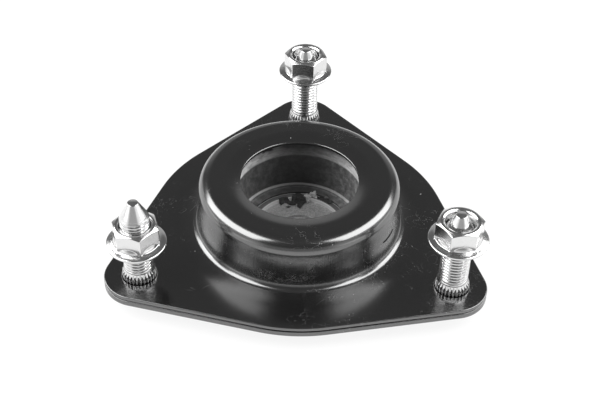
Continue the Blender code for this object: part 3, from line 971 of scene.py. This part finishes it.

# %% [markdown]
# ## Black paint
# The sheets are dipped in black paint. It is nearly a mirror, with a faint orange peel, white
# dust specks and hair scratches. On the tower's wall the press has drawn fine upright lines that
# the paint doesn't hide, and there are scuffs near its foot. Plain black with a low roughness
# would look like plastic, so the wear is laid over the gloss as masks in the part's own space.
# The crack's strip is painted shade: it has no gloss and hardly any light of its own.

# %% Black paint
def black_paint():
    """Worn gloss paint for both sheets."""
    paint = Finish("black_paint_worn", IOR=2.15)
    height = paint.z - FLANGE_TOP / MM
    wall = paint.radius.between(34.0, 35.9, 0.25) * height.between(1.6, 14.6, 0.8)
    dust = paint.specks(3.4, 0.27, 0.24)
    fine = paint.specks(1.5, 0.15, 0.2)
    patch = paint.grain(0.05, 4.0)
    drawn = paint.grain(1.0, 2.0, 0.6, paint.stretched(90.0, 0.02, 0.12))
    blotch = paint.grain(0.22, 5.0, 0.65, twist=0.6)
    scuff_line = paint.grain(1.0, 4.0, 0.7, paint.stretched(24.0, 0.1, 1.3), 1.6)
    scuff_at = paint.turn.between(-1.98, -1.42, 0.22) * height.between(3.2, 7.0, 1.6)
    scuff_high = paint.turn.between(-1.44, -1.33, 0.05) * height.between(8.0, 12.0, 1.0)
    scuff_at = scuff_at + 0.7 * scuff_high
    scuff = paint.line_through(scuff_line, 0.52, 55.0) * scuff_at * wall * blotch.step(0.36, 0.60)
    hair_line = paint.grain(0.11, 2.0, 0.5, twist=2.5)
    hair = paint.line_through(hair_line, 0.5, 420.0) * patch.step(0.52, 0.62)
    white = (dust + 0.6 * fine * patch.step(0.40, 0.58) + 0.7 * scuff + 0.4 * hair).capped()
    streak = drawn.step(0.35, 0.75) * wall
    paint.feed(
        Base_Color=paint.colour_mix(white, grey(0.004), grey(0.45)),
        Roughness=0.16 + 0.05 * patch + 0.40 * white + wall * 0.08 * blotch + 0.05 * streak,
    )
    peel = paint.bump(paint.grain(0.55, 2.0), 0.0035)
    lines = paint.bump(drawn * wall, 0.045, 1.0, peel)
    lumps = paint.bump(blotch * wall, 0.06, 1.0, lines)
    grit = paint.bump(white, 0.02, 0.6, lumps)
    paint.feed(Normal=grit)
    return paint.material


paint = black_paint()
for piece in (shell, plate):
    piece.data.materials.append(paint)
# painted shade: the crack's strip is near black and dull
shadow = Finish("crack_shadow", IOR=1.15, Roughness=0.9, Base_Color=grey(0.003))
crack.data.materials.append(shadow.material)
print(paint.name, len(paint.node_tree.nodes), "nodes")

# %% [markdown]
# ## Rubber
# Fresh from the mould the band under the lip is bloomed: pale, streaky and dusty. The bore below
# is darker and slightly shiny. One material does both, with height and radius as masks. Both are
# painted paler to the left and right, as painted light from the side boxes. The bead carries a
# painted highlight and the chip a painted shade. The torn flash has two finishes of its own.

# %% Rubber finish
def dusty_rubber():
    """Bloomed band, dark bore, the bead's painted highlight and the chip's painted shade in one
    finish.
    """
    gum = Finish("rubber_dusty", IOR=1.5)
    cloud = gum.grain(0.16, 5.0, 0.6)
    fog = gum.grain(0.5, 5.0, 0.7)
    streaks = gum.grain(1.0, 5.0, 0.65, gum.stretched(5.0, 0.5, 1.1), 0.8)
    # painted side light: a share that grows towards the left and right, where the side boxes light
    # the rubber
    sides = (gum.x * gum.x) / (gum.radius * gum.radius)
    band = gum.z.between(20.9, 26.2, 0.18) * gum.radius.step(21.8, 22.1)
    # painted highlight: the bead's rounded edge is painted pale
    bead = gum.z.between(8.1, 8.8, 0.12) * gum.radius.between(20.4, 21.2, 0.15)
    specks = gum.specks(1.5, 0.12, 0.28) + 0.6 * gum.specks(0.7, 0.07, 0.3)
    # real bloom on the band, painted paler at the sides as painted side light
    bloom_and_side_light = band * (0.12 + 1.1 * sides) * (0.45 + 0.65 * streaks.step(0.3, 0.7))
    right = gum.x.step(-6.0, 18.0)
    # real dust from the fog noise, weighted by painted side light, with more of it on the right
    dust = (0.25 + 0.75 * fog.step(0.35, 0.75)) * (0.04 + 0.30 * sides + 0.34 * right * sides)
    # strength of the bead's painted highlight, stronger at the sides as painted side light
    lit = 0.16 + 0.6 * sides
    # painted shade: the chip's dent is painted dark, with no bloom
    chip = gum.turn.between(2.03, 2.21, 0.03) * (gum.z + 1.6 * (fog - 0.5)).step(23.3, 23.7)
    # pale mix: bloom, dust, the bead's painted highlight and specks, all with painted side light
    pale = bloom_and_side_light + dust + lit * bead + (0.12 + 0.5 * sides) * specks
    pale = pale.capped() * (1 - chip)
    gum.feed(
        Base_Color=gum.colour_mix(pale, grey(0.010), grey(0.40)),
        Roughness=0.40 + 0.25 * cloud + 0.12 * band,
    )
    skin = gum.bump(gum.grain(1.4, 4.0), 0.03)
    gum.feed(Normal=gum.bump(streaks, 0.05, 0.7, skin))
    return gum.material


def torn_rubber(name, dark, pale):
    """Raw torn skin: streaky, with paler spots where it was stretched."""
    torn = Finish(name, IOR=1.5)
    pull = torn.grain(1.1, 4.0, 0.65, twist=1.2)
    torn.feed(
        Base_Color=torn.colour_mix(pull.step(0.35, 0.7), grey(dark), grey(pale)),
        Roughness=0.35 + 0.3 * pull,
    )
    torn.feed(Normal=torn.bump(pull, 0.12))
    return torn.material


gum = dusty_rubber()
rubber.data.materials.append(gum)
dark_flash = torn_rubber("flash_dark", 0.008, 0.045)
pale_flash = torn_rubber("flash_pale", 0.10, 0.42)
for name, rag in rags.items():
    rag.data.materials.append(pale_flash if name == "curl" else dark_flash)
print(gum.name, len(gum.node_tree.nodes), "nodes")

# %% [markdown]
# ## Seat steel
# The seat is phosphated: matt grey and finely speckled. Pale lines on the ring's rounded edges are
# painted highlights.

# %% Seat finish
def seat_steel():
    """Matt grey disc, darker ring, painted highlights on the ring's edges."""
    steel = Finish("seat_phosphated", IOR=1.6, Metallic=0.3)
    speck = steel.grain(2.2, 4.0, 0.7)
    stain = steel.grain(0.12, 4.0)
    ring = steel.radius.step(15.0, 15.3)
    # painted highlights: pale lines along the ring's two rounded edges
    worn = steel.radius.between(15.15, 15.5, 0.1) + steel.radius.between(17.25, 17.5, 0.08)
    level = steel.colour_mix(speck.step(0.3, 0.75), grey(0.18), grey(0.42))
    dark = steel.colour_mix(ring, level, grey(0.10))
    steel.feed(
        Base_Color=steel.colour_mix(0.8 * worn, dark, grey(0.6)),
        Roughness=0.40 + 0.2 * stain,
    )
    steel.feed(Normal=steel.bump(speck, 0.014))
    return steel.material


steel = seat_steel()
seat.data.materials.append(steel)
print(steel.name, len(steel.node_tree.nodes), "nodes")

# %% [markdown]
# ## Zinc
# Studs and nuts are bright zinc. Plating rounds small edges and leaves a faint cloud in the
# gloss, so the colour hardly changes but the roughness does.

# %% Zinc finish
def bright_zinc():
    """Bright plating with a soft cloud in its gloss and a few dull stains."""
    zinc = Finish("zinc_bright", Metallic=1.0)
    cloud = zinc.grain(0.5, 5.0, 0.6)
    pits = zinc.grain(3.0, 3.0, 0.6)
    stain = zinc.grain(0.9, 5.0, 0.7).step(0.55, 0.8)
    zinc.feed(
        Base_Color=zinc.colour_mix(stain * 0.45, grey(0.60), grey(0.34)),
        Roughness=0.11 + 0.14 * cloud + 0.08 * stain,
    )
    skin = zinc.bump(pits, 0.008)
    zinc.feed(Normal=zinc.bump(cloud, 0.02, 0.7, skin))
    return zinc.material


zinc = bright_zinc()
for piece in list(studs.values()) + list(nuts.values()):
    piece.data.materials.append(zinc)
print(zinc.name, len(zinc.node_tree.nodes), "nodes")

# %% [markdown]
# ## Floor and light
# The part stands on a pale floor between two big soft boxes, one high up on each side, as in a
# shop's photo corner. Gloss black shows its surroundings more than itself: the dark room behind
# gives the calm tops, the white floor gives the light edges, and the boxes give the white
# crescents on its shoulder. So the surroundings are modelled, not just the lamps. The camera sees
# the floor nearly as white paper, and gloss sees it half as bright, while its shadows stay.

# %% Floor
FLOOR_HALF = 3.0
SEEN_WHITE = 0.88
SEEN_IN_GLOSS = 0.5


def make_floor():
    """A wide white cloth that keeps the part's shadow."""
    bm = bmesh.new()
    bmesh.ops.create_grid(bm, x_segments=2, y_segments=2, size=FLOOR_HALF)
    mesh = bpy.data.meshes.new("floor")
    bm.to_mesh(mesh)
    bm.free()
    floor = bpy.data.objects.new("floor", mesh)
    scene.collection.objects.link(floor)
    cloth = Finish("floor_white", Roughness=0.9, Base_Color=grey(0.92), Specular_IOR_Level=0.0)
    camera_ray = cloth.x.node("ShaderNodeLightPath", output="Is Camera Ray")
    glossy_ray = cloth.x.node("ShaderNodeLightPath", output="Is Glossy Ray")
    clear_ray = cloth.x.node("ShaderNodeLightPath", output="Is Transmission Ray")
    mirrored = glossy_ray.math("MAXIMUM", glossy_ray, clear_ray)
    seen = cloth.x.math("MAXIMUM", SEEN_WHITE * camera_ray, SEEN_IN_GLOSS * mirrored)
    glow = cloth.x.node("ShaderNodeEmission", None, {"Color": grey(1.0), "Strength": 1.0})
    lit = Wire(cloth.tree, cloth.shader.outputs[0])
    both = cloth.x.node("ShaderNodeMixShader", None, {0: seen, 1: lit, 2: glow})
    out = cloth.tree.nodes["Material Output"]
    cloth.tree.links.new(both.socket, out.inputs["Surface"])
    mesh.materials.append(cloth.material)
    return floor


floor = make_floor()
print("floor", round(floor.dimensions.x, 1), "m wide")

# %% [markdown]
# ## Soft boxes and room
# Each box is set by what the part sees of it: direction, width and height in degrees, and how
# bright its face is. The room behind them is a few soft patches of grey in the world.

# %% Soft boxes and room
BOX_DISTANCE = 0.6


def soft_box(name, azimuth, elevation, width, height, roll, radiance):
    """An area lamp that looks at the part. Its power follows from how bright its face should be."""
    lamp = bpy.data.lights.new(name, "AREA")
    lamp.shape = "RECTANGLE"
    lamp.size = 2 * BOX_DISTANCE * tan(radians(width / 2))
    lamp.size_y = 2 * BOX_DISTANCE * tan(radians(height / 2))
    lamp.energy = radiance * pi * lamp.size * lamp.size_y
    box = bpy.data.objects.new(name, lamp)
    x, y = polar(BOX_DISTANCE * cos(radians(elevation)), azimuth)
    box.location = (x, y, BOX_DISTANCE * sin(radians(elevation)))
    aim = (-box.location).to_track_quat("-Z", "Y") @ Quaternion((0, 0, 1), radians(roll))
    box.rotation_euler = aim.to_euler()
    scene.collection.objects.link(box)
    return box


boxes = [
    soft_box("box_left", 181, 45, 62, 34, 25, 6.6),
    soft_box("box_right", 4, 46, 60, 32, -25, 6.6),
]


def make_room():
    """The world: a dark room, paler far behind and in front, with white cards at both sides."""
    world = bpy.data.worlds.new("room")
    scene.world = world
    world.use_nodes = True
    tree = world.node_tree
    start = Wire(tree, None)
    way = start.node("ShaderNodeTexCoord", output="Generated")
    x = way.node("ShaderNodeSeparateXYZ", None, {0: way}, "X")
    y = way.node("ShaderNodeSeparateXYZ", None, {0: way}, "Y")
    z = way.node("ShaderNodeSeparateXYZ", None, {0: way}, "Z")
    side = x.size().step(0.62, 0.85) * z.step(0.20, 0.12)
    panel = x.size().step(0.45, 0.7) * z.step(0.70, 0.45) * y.step(0.45, 0.3)
    back = y.step(0.75, 0.9) * z.step(0.54, 0.48)
    front = y.step(-0.45, -0.75) * z.step(0.48, 0.30)
    level = 0.15 + 1.4 * side + 0.7 * panel + 0.42 * back + 0.4 * front
    tree.links.new(level.socket, tree.nodes["Background"].inputs["Strength"])
    tree.nodes["Background"].inputs["Color"].default_value = grey(1.0)


make_room()
print("lamps:", [box.name for box in boxes])

# %% [markdown]
